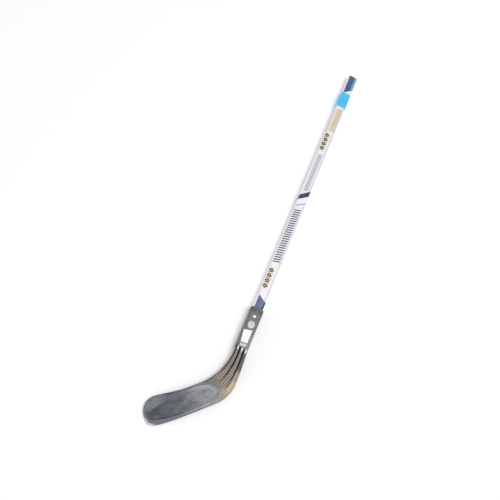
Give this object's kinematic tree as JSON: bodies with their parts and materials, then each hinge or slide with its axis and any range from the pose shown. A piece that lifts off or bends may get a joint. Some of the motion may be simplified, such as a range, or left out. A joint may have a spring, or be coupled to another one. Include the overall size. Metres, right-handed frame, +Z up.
{
  "type": "street hockey stick",
  "caption": "Youth street hockey stick: straight laminated shaft in printed film, screwed into a fluted moulded plastic hosel whose neck sweeps into a curved left-hand blade.",
  "frame": {"origin": "centre of the hosel's flat back face, on the surface that the stick lies on", "axes": "+X up the shaft to the butt, +Y the side that the blade reaches out to, +Z up from the back face to the front face"},
  "size_m": [1.1261, 0.1814, 0.0275],
  "materials": {
    "core_wood": "sawn, unfinished",
    "face_wood": "sanded",
    "white_film": "glossy white with printed panels",
    "blue_tape": "satin sky blue",
    "abs": "fine moulded texture",
    "screw_steel": "bright plated"
  },
  "bodies": {
    "root": {"shaft_core": "core_wood", "shaft_face_front": "face_wood", "shaft_face_back": "face_wood", "printed_film": "white_film", "colour_band": "blue_tape", "blade": "abs", "hosel_screw": "screw_steel"}
  },
  "joints": []
}
